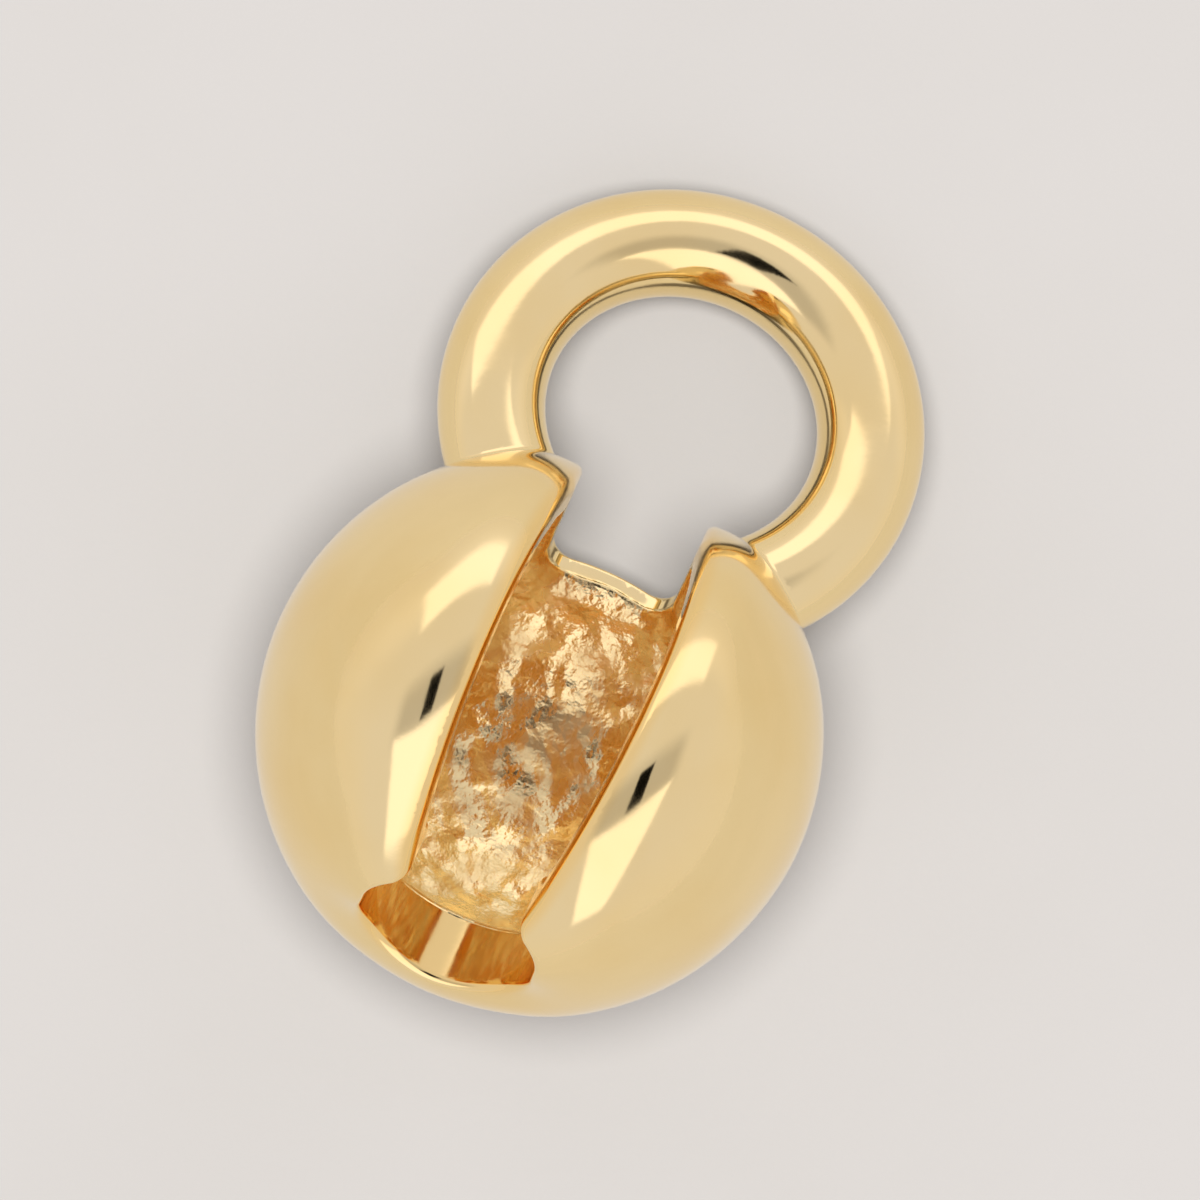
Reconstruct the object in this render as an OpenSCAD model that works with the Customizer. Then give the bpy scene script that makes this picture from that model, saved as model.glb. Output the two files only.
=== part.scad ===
// Clamshell bead tip: a hollow gold-coloured ball that is open along its front,
// with a closed round loop on one end and a thread hole in the other.
// It is drawn upright first, ball centre at the origin, loop toward +Y and
// slot toward +Z, and then tipped until it lies as it would on a table.

/* [Ball] */
// Outside diameter of the ball
ball_d = 4; // [3:0.5:8]
// Thickness of the sheet that the ball is pressed from
wall = 0.2; // [0.15:0.05:0.35]

/* [Slot] */
// Width of the front slot at its widest, halfway between the two ends
slot_w = 1.28; // [0.8:0.02:1.5]

/* [Loop end] */
// Width of the gap that the slot leaves between the loop's two legs
gap_w = 0.96; // [0.8:0.02:1.1]
// How far that gap runs on behind the middle plane
gap_back = 0.9; // [0.4:0.1:1]
// Corner radius at the closed end of the gap
gap_corner_r = 0.2; // [0.1:0.05:0.35]

/* [Thread hole] */
// Width of the hole for the thread
hole_w = 1.28; // [1:0.02:1.4]
// How far the hole reaches behind the middle plane
hole_back = 0.54; // [0.46:0.02:0.6]
// How far the hole reaches in front of the middle plane
hole_front = 0.56; // [0.5:0.02:0.7]
// Corner radius where the hole meets the slot
hole_corner_r = 0.24; // [0.1:0.02:0.24]

/* [Loop] */
// Outside diameter of the loop
loop_d = 3.5; // [3:0.1:4.5]
// Diameter of the loop's wire
wire_d = 0.78; // [0.6:0.02:0.9]
// Distance from the centre of the ball to the centre of the loop
loop_reach = 2.64; // [2.5:0.02:2.9]

/* [Hidden] */

$fn = 96;
ball_r = ball_d / 2;
cavity_r = ball_r - wall;
wire_r = wire_d / 2;
ring_r = loop_d / 2 - wire_r;
cutter = 2 * ball_d;

// The slot's two lips are planes that meet along a line down the back of the
// ball, as if the two halves had been swung open about that line.
slot_half_angle = atan(slot_w / 2 / ball_d);
slot_start_z = 0.1 * ball_r;

// Height at which the slot is as wide as the gap between the legs.
gap_front = gap_w / 2 / tan(slot_half_angle) - ball_r;

// The ball rests on its back and the far end of the loop rests beside it.
lie_angle = asin((ball_r - wire_r) / (loop_reach + ring_r));
lying_y_max = (loop_reach + ring_r) * cos(lie_angle) + wire_r;
lying_y_mid = (lying_y_max - ball_r) / 2;

gold = [0.86, 0.72, 0.45];

// A ball turned so that its own axis runs from side to side, clear of the slot.
module ball(r) {
    rotate([0, 90, 0]) sphere(r);
}

// Stands a drawing of X and Z up and runs it along Y from 0 to len.
module along_y(len) {
    rotate([90, 0, 0]) translate([0, 0, -len]) linear_extrude(len) children();
}

// Outline of the slot seen from one end, wider toward the front.
module slot_outline() {
    spread = tan(slot_half_angle);
    low = (slot_start_z + ball_r) * spread;
    high = (cutter + ball_r) * spread;
    polygon([[-low, slot_start_z], [low, slot_start_z], [high, cutter], [-high, cutter]]);
}

// Outline of the gap between the legs: straight sides up to the slot's lips
// and a closed end with rounded corners.
module gap_outline() {
    inner_x = gap_w / 2 - gap_corner_r;
    inner_z = gap_corner_r - gap_back;
    translate([-gap_w / 2, inner_z]) square([gap_w, gap_front - inner_z]);
    translate([-inner_x, -gap_back]) square([2 * inner_x, gap_back]);
    for (side = [-1, 1]) translate([side * inner_x, inner_z]) circle(gap_corner_r);
}

// Outline of the thread hole: round at the back, with rounded shoulders
// where the slot runs into it.
module hole_outline() {
    hole_r = hole_w / 2;
    centre_z = hole_r - hole_back;
    inner_x = hole_r - hole_corner_r;
    inner_z = hole_front - hole_corner_r;
    translate([0, centre_z]) circle(hole_r);
    translate([-hole_r, centre_z]) square([hole_w, inner_z - centre_z]);
    translate([-inner_x, centre_z]) square([2 * inner_x, hole_front - centre_z]);
    for (side = [-1, 1]) translate([side * inner_x, inner_z]) circle(hole_corner_r);
}

// Everything that is cut away to open the ball from one end to the other.
// The cut stops short of the far side of the loop.
module opening() {
    translate([0, -cutter, 0]) along_y(cutter + loop_reach) slot_outline();
    along_y(loop_reach) gap_outline();
    translate([0, -cutter, 0]) along_y(cutter) hole_outline();
}

// The loop's wire, a full ring. Its two legs are trimmed flush with the
// inside of the ball.
module loop() {
    translate([0, loop_reach, 0]) rotate_extrude() translate([ring_r, 0]) circle(wire_r);
}

// Ball and loop are one solid, because the legs are soldered on.
module bead_tip() {
    color(gold)
    translate([0, -lying_y_mid, ball_r])
    rotate([-lie_angle, 0, 0])
    difference() {
        union() {
            ball(ball_r);
            loop();
        }
        ball(cavity_r);
        opening();
    }
}

bead_tip();
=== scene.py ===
"""A gold-coloured clamshell bead tip lying on a pale table in soft studio light.

The metal is one solid, so it is one mesh. Its shape is a field that is below zero
inside the metal. The mesh is taken from that field, refined where it bends and
given the field's own normals, because polished metal shows every facet.
Shape sizes are in millimetres, with the ball's centre at the origin, the loop
toward +Y and the slot toward +Z, until the mesh is laid down as the part lies.
"""

import math
from collections import namedtuple
from itertools import product

import bpy
import numpy as np
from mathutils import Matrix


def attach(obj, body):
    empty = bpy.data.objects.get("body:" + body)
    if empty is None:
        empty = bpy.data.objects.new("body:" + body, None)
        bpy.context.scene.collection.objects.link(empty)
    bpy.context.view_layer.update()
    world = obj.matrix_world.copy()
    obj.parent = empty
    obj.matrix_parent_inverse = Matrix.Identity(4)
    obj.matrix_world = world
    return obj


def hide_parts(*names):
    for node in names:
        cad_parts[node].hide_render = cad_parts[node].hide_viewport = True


MM = 0.001
PER_MM = 1 / MM

# Ball, slot, gap, thread hole and loop, as in the part's source.
BALL_R = 2.0
WALL = 0.2
SLOT_W = 1.28
SLOT_START_Z = 0.2
GAP_W = 0.96
GAP_BACK = 0.9
GAP_CORNER_R = 0.2
HOLE_W = 1.28
HOLE_BACK = 0.54
HOLE_FRONT = 0.56
HOLE_CORNER_R = 0.24
WIRE_R = 0.39
RING_R = 1.36
LOOP_REACH = 2.64

CAVITY_R = BALL_R - WALL
SLOT_HALF_ANGLE = math.atan(SLOT_W / 2 / (2 * BALL_R))
GAP_FRONT = GAP_W / 2 / math.tan(SLOT_HALF_ANGLE) - BALL_R

# The cut that opens the ball ends this far short of the loop's middle.
CUT_SHORTFALL = 0.3
CUT_END_Y = LOOP_REACH - CUT_SHORTFALL

# How it lies: the ball on its back, the far end of the loop on the table.
LIE_ANGLE = math.asin((BALL_R - WIRE_R) / (LOOP_REACH + RING_R))
LYING_Y_MAX = (LOOP_REACH + RING_R) * math.cos(LIE_ANGLE) + WIRE_R
LYING_Y_MID = (LYING_Y_MAX - BALL_R) / 2
BALL_CENTRE = (0, -LYING_Y_MID * MM, BALL_R * MM)

# Edges rolled inward: how deep, and how far from the edge it starts.
LIP_ROLL = (0.19, 0.55)
HOLE_ROLL = (0.1, 0.65)
HOLE_SIDE_ROLL = (0.1, 0.65)
GAP_ROLL = (0.015, 0.2)
ROLL_POWER = 2.5
# The heights over which the lips' roll comes in and the hole's dies out, and
# how far to the side the hole's extra roll is full.
LIP_ROLL_FADE_Z = (-0.2, 0.9)
HOLE_ROLL_FADE_Z = (-0.5, 0.55)
HOLE_SIDE_X = 0.9

# The collar that the punch drew inward round the thread hole.
COLLAR_END_Y = -1.25
COLLAR_FILLET = 0.12
COLLAR_EDGE_R = 0.06

# Radii of the soft edges, and of the solder at the loop's legs.
EDGE_R = 0.055
SHOULDER_R = 0.1
FILLET_R = 0.07
# The gap's closed end has radii of its own. They come in over these distances
# before its end and along Y, and go from outer to inner through the wall.
GAP_EDGE_R = 0.03
GAP_INNER_EDGE_R = 0.13
GAP_END_START = 0.25
GAP_END_FULL = 0.1
GAP_END_FADE_Y = (0.4, 1.0)
WALL_OUTER_MARGIN = 0.04
WALL_INNER_MARGIN = 0.02

# How far the shown surface stays inside the solid's faceted one.
SKIN = 0.008

# Unevenness of the sheet: shortest wave, longest wave and height.
DENTS = (0.9, 2.6, 0.004)
RIPPLES = (0.17, 0.38, 0.0055)
# Dents go inward alone, and this rounds off where they start.
DENT_SOFTNESS = 0.002
WAVES_EACH = 24
SEED = 7

# Mesh: the grid that it starts from, and how it is settled, evened out and refined.
CELL = 0.055
GRID_LOW = (-2.09, -2.09, -2.09)
GRID_HIGH = (2.09, 4.5, 2.09)
GRADIENT_STEP = 2e-4
LEAST_SLOPE_SQUARED = 0.05
SETTLE_STEPS = 2
FIRST_SETTLE_STEPS = 4
LAST_SETTLE_STEPS = 3
RELAX_SHARE = 0.5
FIRST_RELAX_ROUNDS = 2
LATER_RELAX_ROUNDS = 1
REFINE_ROUNDS = 3
MAX_BEND = math.radians(13)
SHORTEST_SPLIT = 0.018

# Gold plate: two tones of it; a darker, deeper amber of painted shade for the hollow's depths and
# the collar; and a paler gold of painted reflection for the pressed inside of the hollow.
GOLD = (0.95, 0.75, 0.39, 1)
GOLD_DEEP = (0.93, 0.705, 0.33, 1)
GOLD_PAINTED_SHADE = (0.96, 0.69, 0.29, 1)
GOLD_PAINTED_SHEEN = (0.985, 0.785, 0.41, 1)
POLISH_ROUGH = (0.07, 0.13)
PRESSED_ROUGH = (0.17, 0.32)
# Depth of the grain on the outside and in the hollow.
GRAIN_DEPTH = (0.0006 * MM, 0.02 * MM)
TONE_PER_MM = 0.8
HAZE_PER_MM = 3.0
GRAIN_PER_MM = 7.0
NOISE_DETAIL = 3.0
TONE_RANGE = (0.35, 0.75)
HAZE_RANGE = (0.3, 0.7)
# The hollow's own surface: within this distance of the ball's centre, and with
# a normal that points this squarely at it.
HOLLOW_DISTANCE = (1.84 * MM, 1.9 * MM)
HOLLOW_FACING = (-0.75, -0.35)

# Table.
FLOOR_WARM = (0.204, 0.195, 0.183, 1)
FLOOR_PALE = (0.209, 0.200, 0.189, 1)
FLOOR_ROUGH = (0.5, 0.6)
FLOOR_TONE_PER_MM = 0.25
FLOOR_GRAIN_PER_MM = 3.0
FLOOR_GRAIN_DEPTH = 0.01 * MM
FLOOR_RANGE = (0.3, 0.7)
FLOOR_HALF = 150 * MM

# Camera, straight above. The subject height is where the frame width is measured.
CAMERA_TURN = math.radians(24.4)
CAMERA_HEIGHT = 120 * MM
SUBJECT_HEIGHT = 2 * MM
FRAME_WIDTH = 8.4 * MM
SENSOR_WIDTH = 36.0
CLIP_NEAR = 10 * MM
CLIP_FAR = 1.0
GLOSSY_BOUNCES = 12

# Studio: a pale tent that is brighter toward the top of the picture and warmer at
# the horizon. Angles are in degrees: those of the top down the picture from straight
# above, and those of the horizon upward from it.
TENT = (0.79, 0.77, 0.825, 1)
TENT_TOP = (0.96, 0.93, 0.985, 1)
TENT_TOP_FADE = (-80.0, -45.0)
HORIZON = (0.81, 0.77, 0.765, 1)
HORIZON_FADE = (0.0, 25.0)
WING = (0.56, 0.545, 0.585, 1)
LIGHT = (1.3, 1.265, 1.34, 1)
BLACK = (0.004, 0.004, 0.004, 1)
OVERHEAD_STRENGTH = 8.8
OVERHEAD_ANGLE = math.radians(24)

# A patch of sky: how far down the picture from overhead its middle is, half its
# height, half its width, the softness of its edge, and how much wider each half
# gets for each degree down.
Patch = namedtuple("Patch", "down half_height half_width soft flare colour")
PATCHES = (
    Patch(down=0.0, half_height=14.0, half_width=42.0, soft=9.0, flare=0.0, colour=WING),
    Patch(down=42.5, half_height=28.5, half_width=27.0, soft=3.0, flare=-0.5, colour=LIGHT),
    Patch(down=-61.5, half_height=12.5, half_width=38.0, soft=3.0, flare=0.0, colour=LIGHT),
    Patch(down=0.0, half_height=10.5, half_width=8.0, soft=1.0, flare=0.0, colour=BLACK),
)


def length(*parts):
    return np.sqrt(sum(p * p for p in parts))


def round_union(a, b, r):
    """Both shapes together, with a fillet of radius r where they meet."""
    return np.maximum(r, np.minimum(a, b)) - length(np.maximum(r - a, 0), np.maximum(r - b, 0))


def round_common(a, b, r):
    """What the two shapes share, with its new edges rounded to radius r."""
    return np.minimum(-r, np.maximum(a, b)) + length(np.maximum(r + a, 0), np.maximum(r + b, 0))


def smooth_ramp(value, low, high):
    t = np.clip((value - low) / (high - low), 0, 1)
    return t * t * (3 - 2 * t)


def make_waves(rng, shortest, longest, height):
    """Plane waves in random directions that add up to an even, random unevenness."""
    direction = rng.normal(size=(WAVES_EACH, 3))
    direction /= np.linalg.norm(direction, axis=1)[:, None]
    wavelength = np.exp(rng.uniform(math.log(shortest), math.log(longest), WAVES_EACH))
    phase = rng.uniform(0, 2 * math.pi, WAVES_EACH)
    share = wavelength / wavelength.mean()
    turn = direction * (2 * math.pi / wavelength)[:, None]
    return turn, phase, height * share / math.sqrt(WAVES_EACH / 2)


def add_waves(points, waves):
    total = np.zeros(len(points))
    for turn, phase, height in zip(*waves):
        total += height * np.cos(points @ turn + phase)
    return total


def slot_lip(across, z):
    """Distance from the plane that the slot's lip lies in."""
    return across * math.cos(SLOT_HALF_ANGLE) - (z + BALL_R) * math.sin(SLOT_HALF_ANGLE)


def slot_cut(across, z):
    return np.maximum(slot_lip(across, z), SLOT_START_Z - z)


def rounded_corner(qx, qz, r):
    """Distance to a corner of radius r, whose centre is where qx and qz are zero."""
    return length(np.maximum(qx, 0), np.maximum(qz, 0)) + np.minimum(np.maximum(qx, qz), 0) - r


def gap_cut(across, z):
    qx = across - (GAP_W / 2 - GAP_CORNER_R)
    qz = GAP_CORNER_R - GAP_BACK - z
    return np.maximum(rounded_corner(qx, qz, GAP_CORNER_R), z - GAP_FRONT)


def hole_cut(across, z):
    """Distance to the thread hole: round at the back, with rounded shoulders in front."""
    hole_r = HOLE_W / 2
    centre_z = hole_r - HOLE_BACK
    qx = across - (hole_r - HOLE_CORNER_R)
    qz = z - (HOLE_FRONT - HOLE_CORNER_R)
    back = length(across, z - centre_z) - hole_r
    front = rounded_corner(qx, qz, HOLE_CORNER_R)
    return np.where(z < centre_z, back, front)


def opening(x, y, z):
    """Distance to everything that is cut away, below zero inside it."""
    across = np.abs(x)
    slot = slot_cut(across, z)
    loop_end = np.minimum(slot, gap_cut(across, z))
    hole_end = round_union(slot, hole_cut(across, z), SHOULDER_R)
    return np.maximum(np.where(y > 0, loop_end, hole_end), y - CUT_END_Y)


def roll(distance, depth, reach):
    return depth * np.maximum(1 - np.maximum(distance, 0) / reach, 0) ** ROLL_POWER


def rolled_in(x, y, z):
    """How far the sheet is drawn in toward the ball's centre near its openings."""
    across = np.abs(x)
    lip = roll(slot_lip(across, z), *LIP_ROLL) * smooth_ramp(z, *LIP_ROLL_FADE_Z)
    hole_edge = hole_cut(across, z)
    hole = roll(hole_edge, *HOLE_ROLL)
    hole += smooth_ramp(across, 0, HOLE_SIDE_X) * roll(hole_edge, *HOLE_SIDE_ROLL)
    hole *= 1 - smooth_ramp(z, *HOLE_ROLL_FADE_Z)
    gap = roll(gap_cut(across, z), *GAP_ROLL)
    end = np.where(y > 0, gap, hole)
    return np.cbrt(lip**3 + end**3)


def collar(x, y, z):
    """The wall that stands inward round the thread hole."""
    outline = hole_cut(np.abs(x), z)
    return round_common(outline - WALL, y - COLLAR_END_Y, COLLAR_EDGE_R)


def edge_radius(y, z, radius):
    """Radius of the openings' edges, sharp outside and soft inside at the gap's closed end."""
    near = smooth_ramp(-z, GAP_BACK - GAP_END_START, GAP_BACK - GAP_END_FULL)
    near *= smooth_ramp(y, *GAP_END_FADE_Y)
    inward = smooth_ramp(-radius, WALL_OUTER_MARGIN - BALL_R, -WALL_INNER_MARGIN - CAVITY_R)
    end = GAP_EDGE_R + (GAP_INNER_EDGE_R - GAP_EDGE_R) * inward
    return EDGE_R + (end - EDGE_R) * near


def metal(points, dents=None, ripples=None):
    """Roughly the distance to the metal's surface, below zero inside it."""
    x, y, z = points.T
    radius = length(x, y, z) + rolled_in(x, y, z)
    ball = radius - BALL_R + SKIN
    hollow = radius - CAVITY_R
    if dents is not None:
        depth = add_waves(points, dents)
        ball += (depth + length(depth, DENT_SOFTNESS)) / 2
        hollow -= add_waves(points, ripples)
    hollow = round_common(hollow, -collar(x, y, z), COLLAR_FILLET)
    loop = length(length(x, y - LOOP_REACH) - RING_R, z) - WIRE_R + SKIN
    shell = np.maximum(round_union(ball, loop, FILLET_R), -hollow)
    return round_common(shell, -opening(x, y, z), edge_radius(y, z, radius))


def grid_axes():
    return [np.arange(low, high + CELL, CELL) for low, high in zip(GRID_LOW, GRID_HIGH)]


def sample_grid(field, axes):
    """The field at every point of the grid, one X slice at a time."""
    axis_x, axis_y, axis_z = axes
    y, z = np.meshgrid(axis_y, axis_z, indexing="ij")
    values = np.empty((len(axis_x), len(axis_y), len(axis_z)))
    for i, x in enumerate(axis_x):
        slice_points = np.column_stack([np.full(y.size, x), y.ravel(), z.ravel()])
        values[i] = field(slice_points).reshape(y.shape)
    return values


def edge_ends(shape, axis, step_u, step_v):
    """Where the two ends of one of the four edges along the axis are, for every cell."""
    others = [a for a in range(3) if a != axis]
    start = [slice(0, -1)] * 3
    for other, step in zip(others, (step_u, step_v)):
        start[other] = slice(step, shape[other] - 1 + step)
    end = list(start)
    end[axis] = slice(1, None)
    return tuple(start), tuple(end)


def crossing_cells(values, axes):
    """One vertex for each cell that the surface crosses: the mean of its edge crossings."""
    inside = values < 0
    shape = tuple(n - 1 for n in values.shape)
    total = np.zeros(shape + (3,))
    count = np.zeros(shape)
    for axis, step_u, step_v in product(range(3), (0, 1), (0, 1)):
        start, end = edge_ends(values.shape, axis, step_u, step_v)
        cells = np.nonzero(inside[start] != inside[end])
        at_start = values[start][cells]
        share = at_start / (at_start - values[end][cells])
        for a in range(3):
            index = cells[a] + start[a].start
            place = axes[a][index]
            if a == axis:
                place = place + share * (axes[a][index + 1] - place)
            total[..., a][cells] += place
        count[cells] += 1
    used = count > 0
    number = np.full(shape, -1)
    number[used] = np.arange(used.sum())
    return total[used] / count[used][:, None], number


def quads_along(inside, number, axis):
    """One quad, seen from outside, for each grid edge along the axis that the surface crosses."""
    start = [slice(1, -1)] * 3
    start[axis] = slice(0, -1)
    end = list(start)
    end[axis] = slice(1, None)
    first = inside[tuple(start)]
    edges = np.nonzero(first != inside[tuple(end)])
    corners = []
    for step_u, step_v in ((0, 0), (1, 0), (1, 1), (0, 1)):
        step = [0, 0, 0]
        step[(axis + 1) % 3] = step_u
        step[(axis + 2) % 3] = step_v
        corners.append(number[tuple(e + s for e, s in zip(edges, step))])
    quads = np.column_stack(corners)
    turned = ~first[edges]
    quads[turned] = quads[turned][:, ::-1]
    return quads


def crossing_faces(values, number):
    """Two triangles for each grid edge that the surface crosses."""
    inside = values < 0
    quads = np.vstack([quads_along(inside, number, axis) for axis in range(3)])
    return np.vstack([quads[:, [0, 1, 2]], quads[:, [0, 2, 3]]])


def gradient(field, points):
    steps = np.eye(3) * GRADIENT_STEP
    change = [field(points + step) - field(points - step) for step in steps]
    return np.column_stack(change) / (2 * GRADIENT_STEP)


def unit_normals(field, points):
    slope = gradient(field, points)
    return slope / np.linalg.norm(slope, axis=1)[:, None]


def settle(field, points, steps=SETTLE_STEPS):
    """Moves the points onto the surface."""
    for _ in range(steps):
        slope = gradient(field, points)
        move = field(points) / np.maximum((slope**2).sum(1), LEAST_SLOPE_SQUARED)
        points = points - np.clip(move, -CELL, CELL)[:, None] * slope
    return points


def edges_of(tris):
    """Every edge once, and the number of the edge after each corner of each triangle."""
    pairs = np.sort(np.stack([tris, np.roll(tris, -1, axis=1)], axis=2).reshape(-1, 2), axis=1)
    edges, index = np.unique(pairs, axis=0, return_inverse=True)
    return edges, index.reshape(-1, 3)


def relax(field, points, tris, rounds):
    """Evens out the triangles by sliding each vertex toward the middle of its neighbours."""
    edges, _ = edges_of(tris)
    ends = np.concatenate([edges[:, 0], edges[:, 1]])
    others = np.concatenate([edges[:, 1], edges[:, 0]])
    count = np.bincount(ends, minlength=len(points))
    for _ in range(rounds):
        neighbours = points[others]
        sums = [np.bincount(ends, weights=column, minlength=len(points)) for column in neighbours.T]
        move = np.column_stack(sums) / count[:, None] - points
        normal = unit_normals(field, points)
        move -= normal * (move * normal).sum(1)[:, None]
        points = settle(field, points + RELAX_SHARE * move)
    return points


def cut_triangles(tris, middles):
    """Cuts each triangle at those of its edges that have a new vertex, where middles isn't -1."""
    cut = middles >= 0
    parts = [tris[cut.sum(1) == 0]]
    for turn in range(3):
        corner, middle, halved = (np.roll(table, -turn, axis=1) for table in (tris, middles, cut))
        one = halved[:, 0] & ~halved[:, 1] & ~halved[:, 2]
        a, b, c = corner[one].T
        ab = middle[one, 0]
        parts += [np.column_stack(part) for part in ((a, ab, c), (ab, b, c))]
        two = halved[:, 0] & halved[:, 1] & ~halved[:, 2]
        a, b, c = corner[two].T
        ab, bc, _ = middle[two].T
        parts += [np.column_stack(part) for part in ((ab, b, bc), (a, ab, bc), (a, bc, c))]
    three = cut.all(axis=1)
    corner = tris[three]
    middle = middles[three]
    for k in range(3):
        parts.append(np.column_stack([corner[:, k], middle[:, k], middle[:, k - 1]]))
    parts.append(middle)
    return np.vstack(parts)


def split_bent(points, tris, normals):
    """Halves the edges across which the surface turns sharply, and cuts the triangles to suit."""
    edges, edge_numbers = edges_of(tris)
    a, b = edges.T
    size = np.linalg.norm(points[a] - points[b], axis=1)
    bend = np.arccos(np.clip((normals[a] * normals[b]).sum(1), -1, 1))
    chosen = (bend > MAX_BEND) & (size > SHORTEST_SPLIT)
    middle = np.full(len(edges), -1)
    middle[chosen] = len(points) + np.arange(chosen.sum())
    points = np.vstack([points, (points[a[chosen]] + points[b[chosen]]) / 2])
    return points, cut_triangles(tris, middle[edge_numbers])


def metal_mesh():
    """Vertices, triangles and normals of the whole bead tip, in mm, upright."""
    rng = np.random.default_rng(SEED)
    dents = make_waves(rng, *DENTS)
    ripples = make_waves(rng, *RIPPLES)

    def uneven_metal(points):
        return metal(points, dents, ripples)

    axes = grid_axes()
    values = sample_grid(metal, axes)
    points, number = crossing_cells(values, axes)
    tris = crossing_faces(values, number)
    points = settle(metal, points, FIRST_SETTLE_STEPS)
    points = relax(metal, points, tris, FIRST_RELAX_ROUNDS)
    for _ in range(REFINE_ROUNDS):
        points, tris = split_bent(points, tris, unit_normals(metal, points))
        points = relax(metal, settle(metal, points), tris, LATER_RELAX_ROUNDS)
    points = settle(uneven_metal, points, LAST_SETTLE_STEPS)
    return points, tris, unit_normals(uneven_metal, points)


def lay_down(vectors):
    """Tips vectors from upright to how the part lies."""
    x, y, z = vectors.T
    cos = math.cos(LIE_ANGLE)
    sin = math.sin(LIE_ANGLE)
    return np.column_stack([x, y * cos + z * sin, z * cos - y * sin])


def add_object(name, data):
    obj = bpy.data.objects.new(name, data)
    bpy.context.scene.collection.objects.link(obj)
    return obj


def smooth_mesh(name, points, tris, normals):
    mesh = bpy.data.meshes.new(name)
    mesh.from_pydata(points.tolist(), [], tris.tolist())
    mesh.polygons.foreach_set("use_smooth", np.ones(len(tris), dtype=bool))
    mesh.normals_split_custom_set_from_vertices(normals.tolist())
    return mesh


class Nodes:
    """Short ways to add nodes to one tree and join them."""

    def __init__(self, tree):
        self.tree = tree
        tree.nodes.clear()

    def add(self, kind, inputs=(), **settings):
        node = self.tree.nodes.new(kind)
        for key, value in settings.items():
            setattr(node, key, value)
        for key, value in dict(inputs).items():
            self.feed(node.inputs[key], value)
        return node

    def feed(self, socket, value):
        if isinstance(value, bpy.types.NodeSocket):
            self.tree.links.new(value, socket)
        else:
            socket.default_value = value

    def calc(self, operation, *values):
        return self.add("ShaderNodeMath", enumerate(values), operation=operation).outputs[0]

    def vector(self, operation, *values):
        node = self.add("ShaderNodeVectorMath", enumerate(values), operation=operation)
        return node.outputs["Value" if operation in ("DOT_PRODUCT", "LENGTH") else "Vector"]

    def degrees(self, angle):
        return self.calc("MULTIPLY", angle, 180 / math.pi)

    def noise(self, place, per_mm):
        inputs = {"Vector": place, "Scale": per_mm * PER_MM, "Detail": NOISE_DETAIL}
        return self.add("ShaderNodeTexNoise", inputs).outputs["Fac"]

    def ramp(self, value, from_range, to_range=(0.0, 1.0)):
        """Smooth change from one end of to_range to the other as value crosses from_range."""
        inputs = {
            "Value": value,
            "From Min": from_range[0],
            "From Max": from_range[1],
            "To Min": to_range[0],
            "To Max": to_range[1],
        }
        node = self.add("ShaderNodeMapRange", inputs, interpolation_type="SMOOTHSTEP")
        return node.outputs["Result"]

    def fade(self, value, from_range):
        """One below from_range and nought above it."""
        return self.ramp(value, from_range, (1.0, 0.0))

    def mix(self, factor, a, b, kind="RGBA"):
        """From a to b as the factor goes from nought to one."""
        node = self.add("ShaderNodeMix", {"Factor": factor}, data_type=kind)
        self.feed(node.inputs["A"], a)
        self.feed(node.inputs["B"], b)
        return node.outputs["Result"]

    def surface(self, colour, roughness, height, metallic):
        bump = self.add("ShaderNodeBump", {"Height": height, "Distance": 1.0})
        inputs = {
            "Base Color": colour,
            "Metallic": metallic,
            "Roughness": roughness,
            "Normal": bump.outputs["Normal"],
        }
        shader = self.add("ShaderNodeBsdfPrincipled", inputs)
        self.add("ShaderNodeOutputMaterial", {"Surface": shader.outputs["BSDF"]})


def new_material(name):
    material = bpy.data.materials.new(name)
    material.use_nodes = True
    return material, Nodes(material.node_tree)


def hollow_masks(nodes, coordinates):
    """One as deep as the hollow and its collar lie, and one on the hollow's own wall alone."""
    from_centre = nodes.vector("SUBTRACT", coordinates["Object"], BALL_CENTRE)
    deep = nodes.fade(nodes.vector("LENGTH", from_centre), HOLLOW_DISTANCE)
    outward = nodes.vector("NORMALIZE", from_centre)
    facing = nodes.vector("DOT_PRODUCT", outward, coordinates["Normal"])
    wall = nodes.calc("MULTIPLY", nodes.fade(facing, HOLLOW_FACING), deep)
    return deep, wall


def gold_material():
    """Polished gold plate, with the hollow left rougher as it came from the press, and with painted
    shade (a darker, deeper amber in the hollow's depths and collar) and painted reflections (a
    paler gold on the hollow's inner wall).
    """
    material, nodes = new_material("gold_plate")
    coordinates = nodes.add("ShaderNodeTexCoord").outputs
    place = coordinates["Object"]
    deep, wall = hollow_masks(nodes, coordinates)
    tone = nodes.noise(place, TONE_PER_MM)
    haze = nodes.noise(place, HAZE_PER_MM)
    colour = nodes.mix(nodes.ramp(tone, TONE_RANGE), GOLD, GOLD_DEEP)
    # Painted shade: a darker, deeper amber gold in the hollow's depths and round the collar.
    colour = nodes.mix(deep, colour, GOLD_PAINTED_SHADE)
    # Painted reflection: a paler gold on the hollow's inner wall.
    colour = nodes.mix(wall, colour, GOLD_PAINTED_SHEEN)
    polished = nodes.ramp(haze, HAZE_RANGE, POLISH_ROUGH)
    pressed = nodes.ramp(haze, HAZE_RANGE, PRESSED_ROUGH)
    roughness = nodes.mix(wall, polished, pressed, "FLOAT")
    depth = nodes.ramp(wall, (0.0, 1.0), GRAIN_DEPTH)
    grain = nodes.calc("MULTIPLY", nodes.noise(place, GRAIN_PER_MM), depth)
    nodes.surface(colour, roughness, grain, metallic=1.0)
    return material


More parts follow.
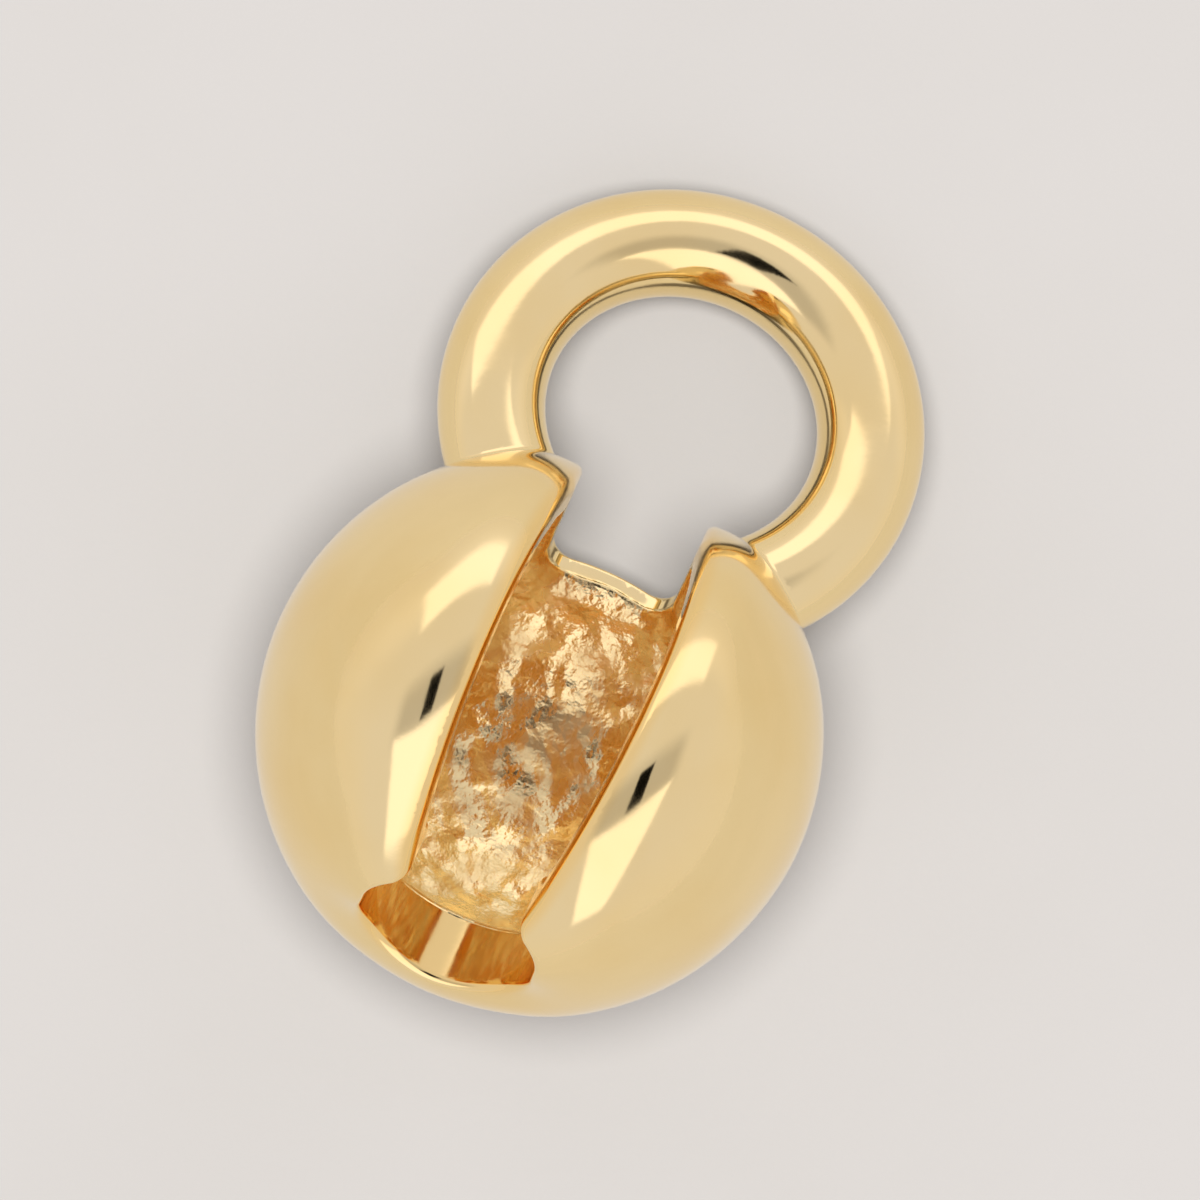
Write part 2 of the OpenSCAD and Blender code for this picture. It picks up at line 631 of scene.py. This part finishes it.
def floor_material():
    """Matt, pale and very slightly mottled."""
    material, nodes = new_material("pale_table")
    place = nodes.add("ShaderNodeTexCoord").outputs["Object"]
    tone = nodes.noise(place, FLOOR_TONE_PER_MM)
    grain = nodes.noise(place, FLOOR_GRAIN_PER_MM)
    colour = nodes.mix(nodes.ramp(tone, FLOOR_RANGE), FLOOR_WARM, FLOOR_PALE)
    roughness = nodes.ramp(grain, FLOOR_RANGE, FLOOR_ROUGH)
    height = nodes.calc("MULTIPLY", grain, FLOOR_GRAIN_DEPTH)
    nodes.surface(colour, roughness, height, metallic=0.0)
    return material


def make_bead_tip():
    points, tris, normals = metal_mesh()
    points = lay_down(points) + np.array([0, -LYING_Y_MID, BALL_R])
    name = "bead_tip_metal"
    obj = add_object(name, smooth_mesh(name, points * MM, tris, lay_down(normals)))
    obj.data.materials.append(gold_material())
    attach(obj, "root")
    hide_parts("bead_tip")


def make_floor():
    half = FLOOR_HALF
    corners = [(-half, -half, 0), (half, -half, 0), (half, half, 0), (-half, half, 0)]
    mesh = bpy.data.meshes.new("table")
    mesh.from_pydata(corners, [], [(0, 1, 2, 3)])
    mesh.materials.append(floor_material())
    floor = add_object("table", mesh)


def make_camera():
    """Straight above, turned so that the loop points up and to the right."""
    data = bpy.data.cameras.new("camera")
    data.sensor_width = SENSOR_WIDTH
    data.lens = SENSOR_WIDTH * (CAMERA_HEIGHT - SUBJECT_HEIGHT) / FRAME_WIDTH
    data.clip_start = CLIP_NEAR
    data.clip_end = CLIP_FAR
    camera = add_object("camera", data)
    camera.location = (0, 0, CAMERA_HEIGHT)
    camera.rotation_euler = (0, 0, CAMERA_TURN)
    bpy.context.scene.camera = camera


def sky_angles(nodes):
    """In degrees, with the picture's own up and right: how far to either side of the middle
    a direction is, how far down the picture from overhead, and how far above the horizon."""
    place = nodes.add("ShaderNodeTexCoord").outputs["Generated"]
    inputs = {"Vector": place, "Angle": -CAMERA_TURN}
    turned = nodes.add("ShaderNodeVectorRotate", inputs, rotation_type="Z_AXIS").outputs["Vector"]
    part = nodes.add("ShaderNodeSeparateXYZ", {"Vector": turned}).outputs
    side = nodes.degrees(nodes.calc("ABSOLUTE", nodes.calc("ARCSINE", part["X"])))
    toward_foot = nodes.calc("MULTIPLY", part["Y"], -1.0)
    down = nodes.degrees(nodes.calc("ARCTAN2", toward_foot, part["Z"]))
    rise = nodes.degrees(nodes.calc("ARCSINE", part["Z"]))
    return side, down, rise


def patch_mask(nodes, patch, side, down):
    """One inside the patch of sky and nought outside it."""
    off = nodes.calc("SUBTRACT", down, patch.down)
    height_range = (patch.half_height - patch.soft, patch.half_height + patch.soft)
    width_range = (patch.half_width - patch.soft, patch.half_width + patch.soft)
    along = nodes.fade(nodes.calc("ABSOLUTE", off), height_range)
    edge = nodes.calc("SUBTRACT", side, nodes.calc("MULTIPLY", off, patch.flare))
    across = nodes.fade(edge, width_range)
    return nodes.calc("MULTIPLY", across, along)


def make_sky():
    """The tent, with a tall soft light low in the picture, a wide flat one high in it,
    and a dark spot with grey sides straight above."""
    world = bpy.data.worlds.new("studio")
    bpy.context.scene.world = world
    world.use_nodes = True
    nodes = Nodes(world.node_tree)
    side, down, rise = sky_angles(nodes)
    colour = nodes.mix(nodes.fade(down, TENT_TOP_FADE), TENT, TENT_TOP)
    colour = nodes.mix(nodes.fade(rise, HORIZON_FADE), colour, HORIZON)
    for patch in PATCHES:
        colour = nodes.mix(patch_mask(nodes, patch, side, down), colour, patch.colour)
    shader = nodes.add("ShaderNodeBackground", {"Color": colour, "Strength": 1.0})
    nodes.add("ShaderNodeOutputWorld", {"Surface": shader.outputs["Background"]})


def make_overhead():
    """Soft light from straight above for the table alone, so that its shadows stay weak."""
    data = bpy.data.lights.new("overhead", "SUN")
    data.energy = OVERHEAD_STRENGTH
    data.angle = OVERHEAD_ANGLE
    light = add_object("overhead", data)
    light.visible_glossy = False


def main():
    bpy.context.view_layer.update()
    make_bead_tip()
    make_floor()
    make_camera()
    make_sky()
    make_overhead()
    scene = bpy.context.scene
    scene.view_settings.view_transform = "Standard"
    scene.cycles.glossy_bounces = GLOSSY_BOUNCES


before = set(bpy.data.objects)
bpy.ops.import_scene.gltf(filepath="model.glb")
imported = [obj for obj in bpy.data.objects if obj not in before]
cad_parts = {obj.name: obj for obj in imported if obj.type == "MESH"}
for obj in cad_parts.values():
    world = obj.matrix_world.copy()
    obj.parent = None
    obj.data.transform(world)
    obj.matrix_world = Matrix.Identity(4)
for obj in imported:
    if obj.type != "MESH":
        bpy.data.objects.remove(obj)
main()
